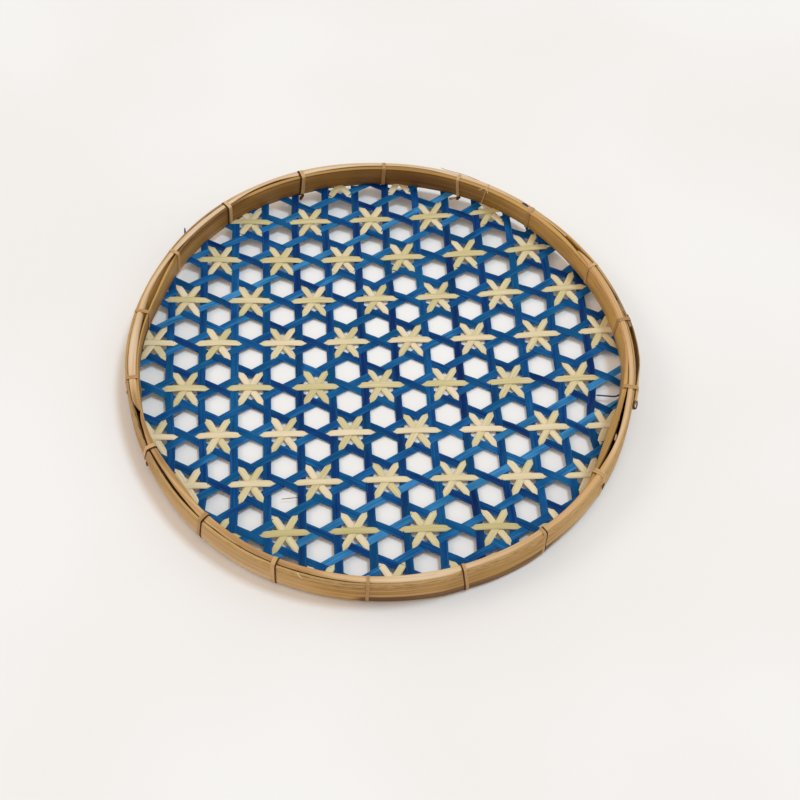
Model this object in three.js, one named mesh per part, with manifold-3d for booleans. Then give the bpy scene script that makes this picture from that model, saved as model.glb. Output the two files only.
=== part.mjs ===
// A shallow round bamboo basket for a wall or a table: an open hexagonal weave of blue strips with
// natural strips that make six-pointed stars, held between two bent hoops that are lashed with cane.
// Millimetres, +Z up. The origin is the middle of the rim, on the surface that the basket lies on.
import * as THREE from "three";
import { mergeVertices } from "three/addons/utils/BufferGeometryUtils.js";
import Module from "manifold-3d";

const wasm = await Module();
wasm.setup();

// Sizes of the rim
const outerHoopRadius = 190; // outer face of the outer hoop
const outerHoopThickness = 2;
const outerHoopHeight = 22.4;
const rimOval = 4; // how much longer the whole basket is front to back than across
const hoopGap = 4.4; // room between the hoops for strip ends and cane
const innerHoopThickness = 2;
const innerHoopHeight = 20.2;
const innerHoopOval = 0.8; // the inner hoop is a little longer front to back
const innerHoopBulge = 2; // how far the inner hoop stands off where it was bent
const bulgeAngles = [160, 335];
const bulgeSpread = 9; // degrees from the top of a bulge to its flank
const clearance = 0.3; // air between pieces that touch

// Lap of the outer hoop, whose end lies outside its start
const lapStart = 343; // degrees round the rim
const lapLength = 74;
const lapClimb = 73; // length over which the hoop climbs out before it passes its start

// Two rim canes fill the mouth of the gap and meet end to end
const caneHeight = 4.2;
const caneCrown = 1.9; // height of its rounded top
const caneProud = 1.3; // how far a cane stands above the hoops
const caneButts = [30, 193];
const caneButtGap = 1; // degrees between two cane ends

// Weave
const stripPitch = 24.4; // between neighbouring blue strips of one direction
const blueWidth = 6;
const naturalWidth = 6;
const stripThickness = 0.35;
const starOffsetX = -2; // the star nearest the middle
const starOffsetY = -11.4;
const edgeMargin = 4; // least bare opening between a strip and the hoop beside it
const blueDirections = { left_leaning: 150, upright: 90, right_leaning: 30 };
const naturalDirections = [0, 60, 120];

// Sag of the weave, which is flat in the middle where it rests
const restRadius = 60;
const kneeRadius = 125;
const kneeHeight = 1.5;
const edgeHeight = 4.4;
const dishSides = 12;

// Lashings of split cane round both hoops
const lashingWidth = 3.4;
const lashingThickness = 0.6;
const lashingAngles = [
  25, 47.5, 68, 87, 107.5, 128, 147, 166, 185, 204.5, 226, 244.5, 264, 283.5, 302.5, 323, 348, 367.5,
];
const threadAngle = 60;
const threadWidth = 1.2;
const threadThickness = 0.45;
const runWidth = 1.4; // the strand that joins two lashings under the outer hoop

// Fineness of the curves
const hoopStep = 4; // degrees of one flat of a hoop
const crownStep = 45; // degrees of one flat of a cane's rounded top
const circleSides = 90;

// Places that follow from the sizes
const layerPitch = stripThickness + clearance;
const stackHeight = 3 * layerPitch + stripThickness;
const outerHoopInner = outerHoopRadius - outerHoopThickness;
const dishRings = [
  [restRadius, 0],
  [kneeRadius, kneeHeight],
  [outerHoopInner / Math.cos(Math.PI / dishSides), edgeHeight],
];
const innerHoopOuter = outerHoopInner - hoopGap;
const innerHoopInner = innerHoopOuter - innerHoopThickness;
const innerHoopBottom = dishHeightAcross(innerHoopOuter + innerHoopOval) + stackHeight + clearance;
const hoopTop = innerHoopBottom + innerHoopHeight;
const outerHoopBottom = hoopTop - outerHoopHeight;
const lapLift = outerHoopThickness + clearance;
const lapAngle = lapLength / outerHoopRadius / rad(1);
const climbAngle = lapClimb / outerHoopRadius / rad(1);
const caneWidth = hoopGap - innerHoopOval - 2 * clearance;
const caneOuter = outerHoopInner - clearance;
const weaveEdge = outerHoopInner * Math.cos(rad(hoopStep / 2)) - clearance;
const caneTop = hoopTop + caneProud;

function rad(degrees) {
  return (degrees * Math.PI) / 180;
}

function smooth(t) {
  const u = Math.min(Math.max(t, 0), 1);
  return u * u * (3 - 2 * u);
}

// Height of the dish under a point on one of its ribs, by straight lines between the rings
function dishHeight(radius) {
  const last = dishRings.length - 1;
  for (let i = 1; i <= last; i++) {
    const [r0, z0] = dishRings[i - 1];
    const [r1, z1] = dishRings[i];
    if (radius <= r1 || i === last) return z0 + ((z1 - z0) * Math.max(radius - r0, 0)) / (r1 - r0);
  }
  return 0;
}

// Height in the middle of a facet, where the flat dish is highest for its radius
function dishHeightAcross(radius) {
  return dishHeight(radius / Math.cos(Math.PI / dishSides));
}

// How far the inner hoop lies from its circle at an angle: its oval and its bulges
function innerHoopShift(angle) {
  let shift = -innerHoopOval * Math.cos(rad(2 * angle));
  for (const at of bulgeAngles) {
    const away = ((((angle - at) % 360) + 540) % 360) - 180;
    shift -= innerHoopBulge * Math.exp(-((away / bulgeSpread) ** 2));
  }
  return shift;
}

// How far the outer hoop has climbed outwards, by the angle run since its start
function outerHoopLift(run) {
  return lapLift * smooth((run - 360 + climbAngle) / climbAngle);
}

// The lift of the outermost layer at an angle, where a lashing goes round it
function outermostLift(angle) {
  const run = (((angle - lapStart) % 360) + 360) % 360;
  return outerHoopLift(run < lapAngle ? run + 360 : run);
}

function polar(radius, angle, z) {
  return new THREE.Vector3(radius * Math.cos(rad(angle)), radius * Math.sin(rad(angle)), z);
}

// A closed band: one section per angle, each a loop of [radius, z] points that runs anticlockwise
// when it is seen along the sweep, joined in order and capped at both ends.
function band(angles, sectionAt) {
  const positions = [];
  const faces = [];
  let count = 0;
  angles.forEach((angle, i) => {
    const section = sectionAt(angle);
    count = section.length;
    for (const [radius, z] of section) positions.push(...polar(radius, angle, z).toArray());
    if (i === 0) return;
    const a = (i - 1) * count;
    const b = i * count;
    for (let j = 0; j < count; j++) {
      const k = (j + 1) % count;
      faces.push(a + j, a + k, b + k, a + j, b + k, b + j);
    }
  });
  const last = (angles.length - 1) * count;
  for (let j = 1; j < count - 1; j++) {
    faces.push(0, j + 1, j);
    faces.push(last, last + j, last + j + 1);
  }
  const geometry = new THREE.BufferGeometry();
  geometry.setAttribute("position", new THREE.Float32BufferAttribute(positions, 3));
  geometry.setIndex(faces);
  return geometry;
}

function anglesBetween(from, to, step) {
  const count = Math.max(1, Math.round((to - from) / step));
  return Array.from({ length: count + 1 }, (_, i) => from + ((to - from) * i) / count);
}

function rectangle(r0, r1, z0, z1) {
  return [
    [r0, z0],
    [r0, z1],
    [r1, z1],
    [r1, z0],
  ];
}

function solidOf(geometry) {
  const bare = geometry.clone();
  bare.deleteAttribute("normal");
  bare.deleteAttribute("uv");
  const merged = mergeVertices(bare, 1e-4);
  return new wasm.Manifold(
    new wasm.Mesh({
      numProp: 3,
      vertProperties: merged.attributes.position.array,
      triVerts: new Uint32Array(merged.index.array),
    }),
  );
}

function geometryOf(solid) {
  const mesh = solid.getMesh();
  const geometry = new THREE.BufferGeometry();
  geometry.setAttribute("position", new THREE.Float32BufferAttribute(mesh.vertProperties, 3));
  geometry.setIndex(new THREE.BufferAttribute(mesh.triVerts, 1));
  return geometry;
}

// A box with its length along a direction, its middle line at a distance from the origin
function slab(direction, distance, width, length, z0, z1) {
  const geometry = new THREE.BoxGeometry(length, width, z1 - z0);
  geometry.translate(0, distance, (z0 + z1) / 2);
  geometry.rotateZ(rad(direction));
  return geometry;
}

// Rim

function outerHoop() {
  const angles = anglesBetween(lapStart, lapStart + 360 + lapAngle, hoopStep);
  return band(angles, (angle) => {
    const inner = outerHoopInner + outerHoopLift(angle - lapStart);
    return rectangle(inner, inner + outerHoopThickness, outerHoopBottom, hoopTop);
  });
}

function innerHoop() {
  const scarfGap = clearance / 2 / innerHoopOuter / rad(1);
  const start = bulgeAngles[1];
  const angles = anglesBetween(start + scarfGap, start + 360 - scarfGap, hoopStep);
  return band(angles, (angle) => {
    const shift = innerHoopShift(angle);
    return rectangle(innerHoopInner + shift, innerHoopOuter + shift, innerHoopBottom, hoopTop);
  });
}

function rimCane(from, to) {
  const half = caneWidth / 2;
  const middle = caneOuter - half;
  const bottom = caneTop - caneHeight;
  const roundTop = anglesBetween(180, 0, -crownStep).map((turn) => [
    middle + half * Math.cos(rad(turn)),
    caneTop - caneCrown + caneCrown * Math.sin(rad(turn)),
  ]);
  const section = [[middle - half, bottom], ...roundTop, [middle + half, bottom]];
  return band(anglesBetween(from, to, hoopStep), () => section);
}

// Lashings

// Radius of a lashing's face against the inner hoop
function lashingInside(angle) {
  return innerHoopInner + innerHoopShift(angle) - clearance;
}

// Height of its face under the weave and the outer hoop
function lashingBottom(angle, thickness) {
  const weaveBottom = dishHeight(lashingInside(angle) - thickness);
  return Math.min(weaveBottom, outerHoopBottom) - clearance;
}

// One wrap round both hoops, or with air on every side the slot that it needs in the weave
function lashingLoop(angle, width, thickness, air) {
  const inside = lashingInside(angle);
  const outside = outerHoopRadius + outermostLift(angle) + clearance;
  const top = caneTop + clearance;
  const bottom = lashingBottom(angle, thickness);
  const shape = new THREE.Shape();
  shape.moveTo(inside - thickness - air, bottom - thickness - air);
  shape.lineTo(outside + thickness + air, bottom - thickness - air);
  shape.lineTo(outside + thickness + air, top + thickness + air);
  shape.lineTo(inside - thickness - air, top + thickness + air);
  shape.closePath();
  const hole = new THREE.Path();
  hole.moveTo(inside + air, bottom + air);
  hole.lineTo(inside + air, top - air);
  hole.lineTo(outside - air, top - air);
  hole.lineTo(outside - air, bottom + air);
  hole.closePath();
  shape.holes.push(hole);
  const geometry = new THREE.ExtrudeGeometry(shape, { depth: width + 2 * air, bevelEnabled: false });
  geometry.translate(0, 0, -width / 2 - air);
  geometry.rotateX(Math.PI / 2);
  geometry.rotateZ(rad(angle));
  return geometry;
}

// Two neighbouring lashings are one strand, which runs from one to the other under the outer hoop
function lashingPair(angles) {
  const loops = angles.map((angle) => solidOf(lashingLoop(angle, lashingWidth, lashingThickness, 0)));
  const [from, to] = angles;
  const top = Math.min(...angles.map((angle) => lashingBottom(angle, lashingThickness)));
  const middle = (outerHoopInner + outerHoopRadius) / 2;
  const run = band(anglesBetween(from, to, hoopStep), () =>
    rectangle(middle - runWidth / 2, middle + runWidth / 2, top - lashingThickness, top),
  );
  return geometryOf(loops[0].add(loops[1]).add(solidOf(run)));
}

// Weave

// A faceted dish of even thickness: rings of ribs joined by flats, the same shape above and below
function dishLayer(layer) {
  const lower = layer * layerPitch;
  const upper = lower + stripThickness;
  const positions = [];
  const faces = [];
  for (const base of [lower, upper]) {
    positions.push(0, 0, base);
    for (const [radius, height] of dishRings)
      for (let i = 0; i < dishSides; i++)
        positions.push(...polar(radius, (360 * i) / dishSides, base + height).toArray());
  }
  const sheet = 1 + dishRings.length * dishSides;
  const at = (ring, i) => 1 + ring * dishSides + (i % dishSides);
  for (let i = 0; i < dishSides; i++) {
    faces.push(0, at(0, i + 1), at(0, i));
    faces.push(sheet, sheet + at(0, i), sheet + at(0, i + 1));
    for (let ring = 1; ring < dishRings.length; ring++) {
      const [a, b] = [at(ring - 1, i), at(ring - 1, i + 1)];
      const [c, d] = [at(ring, i), at(ring, i + 1)];
      faces.push(a, b, d, a, d, c);
      faces.push(sheet + a, sheet + d, sheet + b, sheet + a, sheet + c, sheet + d);
    }
    const [e, f] = [at(dishRings.length - 1, i), at(dishRings.length - 1, i + 1)];
    faces.push(e, f, sheet + f, e, sheet + f, sheet + e);
  }
  const geometry = new THREE.BufferGeometry();
  geometry.setAttribute("position", new THREE.Float32BufferAttribute(positions, 3));
  geometry.setIndex(faces);
  return geometry;
}

// Distances from the origin of the parallel lines that a direction's strips lie on
function lineDistances(direction, pitch, phase, width) {
  const normal = rad(direction + 90);
  const start = starOffsetX * Math.cos(normal) + starOffsetY * Math.sin(normal) + phase;
  const reach = innerHoopInner - edgeMargin - width / 2;
  const first = Math.ceil((-reach - start) / pitch);
  const last = Math.floor((reach - start) / pitch);
  return Array.from({ length: last - first + 1 }, (_, i) => start + (first + i) * pitch);
}

const slabTop = stackHeight + dishRings.at(-1)[1] + 1;
const edgeDisc = new THREE.CylinderGeometry(weaveEdge, weaveEdge, 2 * slabTop, circleSides);
edgeDisc.rotateX(Math.PI / 2);
const edgeSolid = solidOf(edgeDisc);

let lashingSlots = solidOf(lashingLoop(threadAngle, threadWidth, threadThickness, clearance));
for (const angle of lashingAngles)
  lashingSlots = lashingSlots.add(solidOf(lashingLoop(angle, lashingWidth, lashingThickness, clearance)));

function weaveBlank(layer) {
  return solidOf(dishLayer(layer)).intersect(edgeSolid).subtract(lashingSlots);
}

function wovenStrip(blank, direction, distance, width) {
  const cutter = slab(direction, distance, width, 2 * outerHoopRadius, -1, slabTop);
  return blank.intersect(solidOf(cutter));
}

// Materials

function finish(color, roughness) {
  return new THREE.MeshStandardMaterial({ color, roughness, metalness: 0 });
}

const bamboo = finish(0xb98f57, 0.5);
const innerBamboo = finish(0xa2743a, 0.5);
const cane = finish(0xd9b98a, 0.45);
const blueDye = finish(0x17549a, 0.5);
const naturalStrip = finish(0xe0cf9c, 0.55);
const splitCane = finish(0xc9a06e, 0.5);

// Assembly

const basket = new THREE.Group();

function place(name, geometry, material) {
  const mesh = new THREE.Mesh(geometry, material.clone());
  mesh.name = name;
  basket.add(mesh);
}

place("outer_hoop", outerHoop(), bamboo);
place("inner_hoop", innerHoop(), innerBamboo);
place("rim_cane_front", rimCane(caneButts[1] + caneButtGap / 2, caneButts[0] + 360 - caneButtGap / 2), cane);
place("rim_cane_back", rimCane(caneButts[0] + caneButtGap / 2, caneButts[1] - caneButtGap / 2), cane);

Object.entries(blueDirections).forEach(([name, direction], layer) => {
  const blank = weaveBlank(layer);
  lineDistances(direction, stripPitch, stripPitch / 2, blueWidth).forEach((distance, i) => {
    const solid = wovenStrip(blank, direction, distance, blueWidth);
    place(`blue_strip_${name}_${i + 1}`, geometryOf(solid), blueDye);
  });
});

const starBlank = weaveBlank(Object.keys(blueDirections).length);
let starStrips = null;
for (const direction of naturalDirections)
  for (const distance of lineDistances(direction, stripPitch * Math.sqrt(3), 0, naturalWidth)) {
    const cutter = solidOf(slab(direction, distance, naturalWidth, 2 * outerHoopRadius, -1, slabTop));
    starStrips = starStrips ? starStrips.add(cutter) : cutter;
  }
place("star_strips", geometryOf(starBlank.intersect(starStrips)), naturalStrip);

for (let i = 0; i < lashingAngles.length; i += 2)
  place(`lashing_${i / 2 + 1}`, lashingPair(lashingAngles.slice(i, i + 2)), splitCane);
place("lashing_thread", lashingLoop(threadAngle, threadWidth, threadThickness, 0), splitCane);
basket.scale.set(1, 1 + rimOval / (2 * outerHoopRadius), 1);

export default basket;
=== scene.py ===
import math

import bpy
import numpy as np
from mathutils import Matrix, Vector


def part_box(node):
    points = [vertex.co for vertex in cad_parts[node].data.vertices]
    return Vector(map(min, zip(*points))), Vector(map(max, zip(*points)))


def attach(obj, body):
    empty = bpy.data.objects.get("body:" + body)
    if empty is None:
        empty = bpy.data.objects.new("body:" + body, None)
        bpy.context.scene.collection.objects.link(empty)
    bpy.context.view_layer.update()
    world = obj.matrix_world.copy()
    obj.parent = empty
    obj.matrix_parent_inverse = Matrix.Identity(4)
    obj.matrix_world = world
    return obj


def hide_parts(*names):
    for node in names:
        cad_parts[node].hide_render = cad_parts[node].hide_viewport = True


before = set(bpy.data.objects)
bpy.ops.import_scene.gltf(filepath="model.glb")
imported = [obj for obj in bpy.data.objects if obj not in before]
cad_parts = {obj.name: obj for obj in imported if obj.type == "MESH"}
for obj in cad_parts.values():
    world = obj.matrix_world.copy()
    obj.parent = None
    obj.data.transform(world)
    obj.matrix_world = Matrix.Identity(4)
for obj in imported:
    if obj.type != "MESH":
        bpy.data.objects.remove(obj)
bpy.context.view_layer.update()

# A shallow round wall basket: blue and natural strips in an open star weave, held between two bent
# bamboo hoops that are lashed with split cane. Lengths are millimetres until a mesh is made, and
# angles run anticlockwise from +X, seen from above.
mm = 0.001
rng = np.random.default_rng(11)


def addObject(name, data):
    made = bpy.data.objects.new(name, data)
    bpy.context.scene.collection.objects.link(made)
    return made


low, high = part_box("outer_hoop")
hoopTop = high[2] / mm
outerRadius = -low[0] / mm
print("frame loaded: hoop radius", round(outerRadius, 1), "top", round(hoopTop, 1))

# Camera, where the weave and the rim's outline put it: degrees round from the front, above the floor
# and of roll
view = dict(
    target=(11.64, -25.28, 1.2), distance=1040.8, azimuth=5.64, elevation=55.68, roll=2.88,
    lens=62.63, sensor=36, clipStart=0.05,
)


def aimCamera(view):
    azimuth, elevation, roll = (math.radians(view[k]) for k in ("azimuth", "elevation", "roll"))
    level = math.cos(elevation)
    ahead = Vector((math.sin(azimuth) * level, math.cos(azimuth) * level, -math.sin(elevation)))
    right = Vector((math.cos(azimuth), -math.sin(azimuth), 0))
    up = right.cross(ahead)
    rolledRight = right * math.cos(roll) + up * math.sin(roll)
    rolledUp = up * math.cos(roll) - right * math.sin(roll)
    lens = bpy.data.cameras.new("camera")
    lens.lens = view["lens"]
    lens.sensor_width = view["sensor"]
    lens.clip_start = view["clipStart"]
    camera = addObject("camera", lens)
    turn = Matrix((rolledRight, rolledUp, -ahead)).transposed().to_4x4()
    place = (Vector(view["target"]) - ahead * view["distance"]) * mm
    camera.matrix_world = Matrix.Translation(place) @ turn
    bpy.context.scene.camera = camera


aimCamera(view)
print("camera placed")


# Shader expressions: a wire wraps a socket, and arithmetic on wires adds Math nodes
class Wire:
    def __init__(self, paint, socket):
        self.paint = paint
        self.socket = socket

    def join(self, operation, other):
        return self.paint.node("Math", {"operation": operation}, {0: self, 1: other})

    def __add__(self, other):
        return self.join("ADD", other)

    def __sub__(self, other):
        return self.join("SUBTRACT", other)

    def __mul__(self, other):
        return self.join("MULTIPLY", other)

    # A smooth step, from 0 at the low end to 1 at the high end
    def clamped(self, low, high):
        ends = {"From Min": low, "From Max": high, "Value": self}
        return self.paint.node("MapRange", {"interpolation_type": "SMOOTHSTEP"}, ends)


class Paint:
    def __init__(self, name):
        self.material = bpy.data.materials.new(name)
        self.material.use_nodes = True
        self.tree = self.material.node_tree
        self.tree.nodes.clear()

    # Adds a node, sets its settings first, then its inputs, and returns one of its outputs
    def node(self, kind, settings, inputs, output=0):
        made = self.tree.nodes.new("ShaderNode" + kind)
        for key, value in settings.items():
            setattr(made, key, value)
        for key, value in inputs.items():
            if isinstance(value, Wire):
                self.tree.links.new(value.socket, made.inputs[key])
            else:
                made.inputs[key].default_value = value
        return Wire(self, made.outputs[output]) if len(made.outputs) else None

    # The colour at an amount from 0 to 1, between stops of (amount, colour)
    def ramp(self, amount, stops):
        made = self.node("ValToRGB", {}, {0: amount})
        elements = made.socket.node.color_ramp.elements
        elements.remove(elements[1])
        for i, (at, colour) in enumerate(stops):
            element = elements.new(at) if i else elements[0]
            element.position = at
            element.color = linear(colour)
        return made

    # Mixes two colours: on a Mix node these are inputs 6 and 7, and the result is output 2
    def mix(self, amount, first, second):
        return self.node("Mix", {"data_type": "RGBA"}, {0: amount, 6: first, 7: second}, 2)

    def noise(self, place, scale, stretch=(1, 1, 1), detail=2, roughness=0.5):
        spread = self.node("Mapping", {}, {"Vector": place, "Scale": stretch})
        settings = {"Vector": spread, "Scale": scale, "Detail": detail, "Roughness": roughness}
        return self.node("TexNoise", {}, settings)

    # Noise drawn out along the grain to a length and a width in millimetres
    def streaks(self, grain, length, width, detail=2, roughness=0.5):
        return self.noise(grain, 1.0, (1 / length, 1 / width, 0), detail, roughness)

    def finish(self, shader):
        self.node("OutputMaterial", {}, {"Surface": shader})
        return self.material


# A screen's colour, 0 to 255, as linear values: straight near black, then a power of 2.4
def linear(colour):
    seen = np.array(colour[:3], float) / 255
    light = np.where(seen <= 0.04045, seen / 12.92, ((seen + 0.055) / 1.055) ** 2.4)
    return (*light, 1.0)


# Noises of hue, cracks, and scuffs with painted sheen along edges: length, width, detail and roughness,
# and the ends that each is clamped to. Depths are of the fibre, the streaks and the cracks.
grainNoise = dict(
    hue=(90, 9, 1), hueEnds=(0.42, 0.66), crack=(30, 0.35, 2, 0.7), crackEnds=(0.63, 0.75),
    scuffAndSheen=(7, 0.8), scuffAndSheenEnds=(0.35, 0.65), depths=(0.6, 0.4, 0.5), bumpDepth=0.0003, ior=1.45,
)


# Bamboo in all its finishes. The grain attribute holds millimetres along and across a piece, and its
# tone. Fibre, streak, patch and tone, added in their shares, pick the colour from the ramp, and hue,
# crack, and edge wear with painted sheen each lay a share of their own over it.
def bamboo(name, look):
    paint = Paint(name)
    grain = paint.node("Attribute", {"attribute_name": "grain"}, {}, "Vector")
    tone = paint.node("SeparateXYZ", {}, {"Vector": grain}, 2)
    place = paint.node("TexCoord", {}, {}, "Object")
    fibre = paint.streaks(grain, *look["fibre"], 3, 0.6)
    streak = paint.streaks(grain, *look["streak"])
    patch = paint.noise(place, look["patch"], detail=3)
    fibreShare, streakShare, patchShare, toneShare = look["shares"]
    level = fibre * fibreShare + streak * streakShare + patch * patchShare + tone * toneShare
    low, high = look["ramp"]
    total = sum(look["shares"])
    colour = paint.ramp(level.clamped(total * low, total * high), look["stops"])
    hue = paint.streaks(grain, *grainNoise["hue"]).clamped(*grainNoise["hueEnds"])
    crack = paint.streaks(grain, *grainNoise["crack"]).clamped(*grainNoise["crackEnds"])
    # Edge wear and painted sheen: a colour laid along the edges of a piece, mostly lighter, where a
    # highlight would catch them
    wearAndSheen = paint.node("Attribute", {"attribute_name": "wearAndSheen"}, {}, "Fac")
    scuffAndSheen = wearAndSheen * paint.streaks(grain, *grainNoise["scuffAndSheen"]).clamped(*grainNoise["scuffAndSheenEnds"])
    for amount, key in ((hue, "hue"), (crack, "crack"), (scuffAndSheen, "wearAndSheen")):
        share, over = look[key]
        colour = paint.mix(amount * share, colour, linear(over))
    fibreDepth, streakDepth, crackDepth = grainNoise["depths"]
    relief = fibre * fibreDepth + streak * streakDepth - crack * crackDepth
    depth = grainNoise["bumpDepth"]
    bump = paint.node("Bump", {}, {"Strength": look["bump"], "Distance": depth, "Height": relief})
    roughness, spread = look["rough"]
    shader = paint.node("BsdfPrincipled", {}, {
        "Base Color": colour, "Roughness": fibre * spread + (roughness - 0.5 * spread),
        "Normal": bump, "IOR": grainNoise["ior"], "Specular IOR Level": look["specular"],
    })
    return paint.finish(shader)


# Fibre and streak are length and width, and rough is the roughness and its spread
hoopLook = dict(
    fibre=(26, 0.35), streak=(120, 1.8), patch=18, shares=(0.8, 1.0, 0.5, 1.7), ramp=(0.28, 0.72),
    stops=[(0, (104, 68, 30)), (0.25, (152, 108, 50)), (0.5, (192, 147, 76)), (1, (234, 208, 172))],
    hue=(0.45, (168, 126, 54)), crack=(0.55, (92, 58, 26)), wearAndSheen=(0.5, (222, 192, 144)),
    bump=0.4, rough=(0.5, 0.25), specular=0.3,
)
outerPaint = bamboo("outer_hoop_bamboo", hoopLook)
innerPaint = bamboo("inner_hoop_bamboo", {
    **hoopLook, "hue": (0.35, (150, 106, 44)), "wearAndSheen": (0.5, (178, 138, 80)),
    "shares": (0.8, 1.0, 0.5, 2.4), "stops": [(0, (92, 54, 22)), (0.5, (158, 115, 54)), (1, (220, 172, 98))],
})
canePaint = bamboo("rim_cane", {
    **hoopLook, "fibre": (40, 0.35), "hue": (0.4, (202, 148, 86)), "rough": (0.42, 0.25),
    "stops": [(0, (152, 108, 60)), (0.5, (208, 166, 112)), (1, (236, 212, 182))],
})
lashingPaint = bamboo("split_cane", {
    **hoopLook, "fibre": (12, 0.3), "streak": (120, 0.9), "hue": (0.45, (184, 134, 76)),
    "crack": (0.3, (92, 58, 26)),
    "stops": [(0, (150, 108, 60)), (0.5, (204, 162, 108)), (1, (232, 202, 158))],
})
# Blue dye. The ramp's lightest stops are painted highlights, and its large patches lighten it in places as
# painted highlights.
bluePaint = bamboo("blue_dyed_strip", dict(
    fibre=(22, 0.28), streak=(60, 1.3), patch=42, shares=(0.8, 1.0, 1.0, 1.6), ramp=(0.29, 0.74),
    stops=[
        (0, (0, 22, 74)), (0.3, (0, 44, 102)), (0.55, (2, 68, 124)), (0.8, (24, 98, 154)),
        (1, (66, 140, 192)),
    ],
    hue=(0.5, (0, 80, 114)), crack=(0.4, (0, 18, 58)), wearAndSheen=(0.3, (54, 120, 166)),
    bump=0.4, rough=(0.42, 0.25), specular=0.1,
))
naturalPaint = bamboo("natural_strip", dict(
    fibre=(24, 0.3), streak=(60, 1.2), patch=24, shares=(0.7, 1.4, 0.6, 1.2), ramp=(0.26, 0.74),
    stops=[(0, (186, 172, 112)), (0.3, (208, 192, 140)), (0.65, (228, 210, 168)), (1, (244, 222, 192))],
    hue=(0.35, (204, 192, 132)), crack=(0.6, (166, 132, 82)), wearAndSheen=(0.45, (190, 166, 118)),
    bump=0.35, rough=(0.5, 0.2), specular=0.2,
))
# Dark cane for knots, curls, tie ends and hairs, and for the strips of painted shadow beside the lashings
darkCaneAndShadowPaint = bamboo("dark_cane_and_painted_shadow", {
    **hoopLook, "hue": (0.45, (66, 42, 22)), "wearAndSheen": (0.5, (96, 66, 38)), "specular": 0.05,
    "stops": [(0, (48, 27, 13)), (0.5, (74, 46, 24)), (1, (108, 74, 42))],
})
print("materials made")


# Value at each angle: straight lines between stops of (angle, value), averaged over the blur's degrees
# with weights that fall off as a cosine does. Stops of a closed ring repeat every turn.
def along(angle, stops, blur=2.0, closed=True):
    at, value = np.array(stops, float).T
    if closed:
        at = np.concatenate([at - 360, at, at + 360])
        value = np.tile(value, 3)
    offsets = np.linspace(-1, 1, 9)
    weights = 1 + np.cos(math.pi * offsets)
    return sum(w * np.interp(angle + o * blur, at, value) for o, w in zip(offsets, weights)) / weights.sum()


# A slow wander: three sine waves of random phase, as long as the length, a half and a third of it,
# and lower by as much
def wander(distance, size, length):
    phase = rng.uniform(0, 2 * math.pi, 3)
    waves = [np.sin(2 * math.pi * distance / (length / k) + phase[k - 1]) / k for k in (1, 2, 3)]
    return size * sum(waves) / 1.5


# Points round the rim, from their angles, radii and heights
def placed(angle, radius, height):
    turn = np.radians(angle)
    return np.stack([radius * np.cos(turn), radius * np.sin(turn), height], -1)


# A line of corners made round: three times over, each stretch is cut at its quarters
def rounded(corners, closed):
    for _ in range(3):
        here = corners if closed else corners[:-1]
        ahead = np.roll(corners, -1, axis=0)[:len(here)]
        cut = np.stack([here * 0.75 + ahead * 0.25, here * 0.25 + ahead * 0.75], 1).reshape(-1, 3)
        corners = cut if closed else np.concatenate([corners[:1], cut, corners[-1:]])
    return corners


sharpAngle = 48  # degrees, from which an edge isn't smoothed


# Rings of points become one closed skin: point j of a ring meets point j + 1, and its twin on the
# next ring. The faces are turned outwards by the sign of the volume they enclose.
def skin(name, rings, grain, wearAndSheen, material, slot, nodes, closed=False):
    count, around = rings.shape[:2]
    i = np.arange(count if closed else count - 1)[:, None]
    j = np.arange(around)[None]
    here, ahead, turn = i * around, (i + 1) % count * around, (j + 1) % around
    quads = np.stack([here + j, here + turn, ahead + turn, ahead + j], -1).reshape(-1, 4)
    flat = rings.reshape(-1, 3)
    a, b, c, d = (flat[quads[:, k]] for k in range(4))
    volume = np.einsum("ij,ij->", a, np.cross(b, c)) + np.einsum("ij,ij->", a, np.cross(c, d))
    caps = [] if closed else [list(range(around))[::-1], list(range((count - 1) * around, count * around))]
    faces = quads.tolist() + caps
    if volume < 0:
        faces = [face[::-1] for face in faces]
    mesh = bpy.data.meshes.new(name)
    mesh.from_pydata((flat * mm).tolist(), [], faces)
    mesh.shade_smooth()
    mesh.set_sharp_from_angle(angle=math.radians(sharpAngle))
    field = mesh.attributes.new("grain", "FLOAT_VECTOR", "POINT")
    field.data.foreach_set("vector", grain.reshape(-1).astype(np.float32))
    wearAndSheenField = mesh.attributes.new("wearAndSheen", "FLOAT", "POINT")
    wearAndSheenField.data.foreach_set("value", np.broadcast_to(wearAndSheen, (count, around)).flatten().astype(np.float32))
    mesh.materials.append(material)
    piece = addObject(name, mesh)
    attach(piece, "root")
    if nodes:
        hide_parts(*nodes)


# Section of a ribbon, in shares of half its width and of its thickness, and each point's share of edge wear
# and painted sheen
ribbonSection = np.array([
    (-0.94, 0), (-1, 0.4), (-0.92, 0.86), (-0.4, 1), (0.4, 1), (0.92, 0.86), (1, 0.4), (0.94, 0),
])
ribbonWearAndSheen = np.array([0.5, 1, 1, 0, 0, 1, 1, 0.5])


# Directions across a path, as near to a given side as can be, and out of it
def squareTo(tangent, side):
    tangent = tangent / np.linalg.norm(tangent, axis=1, keepdims=True)
    side = side - tangent * np.sum(side * tangent, axis=1, keepdims=True)
    side = side / np.linalg.norm(side, axis=1, keepdims=True)
    return side, np.cross(side, tangent)


# Rings of a ribbon: the path, plus shares of half the width across and of the thickness out
def sectionRings(path, side, out, width, thickness):
    across = ribbonSection[:, 0] * np.broadcast_to(width, len(path))[:, None] / 2
    lift = (ribbonSection[:, 1] - 0.5) * thickness
    rings = path[:, None] + side[:, None] * across[..., None] + out[:, None] * lift[None, :, None]
    return rings, across


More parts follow.
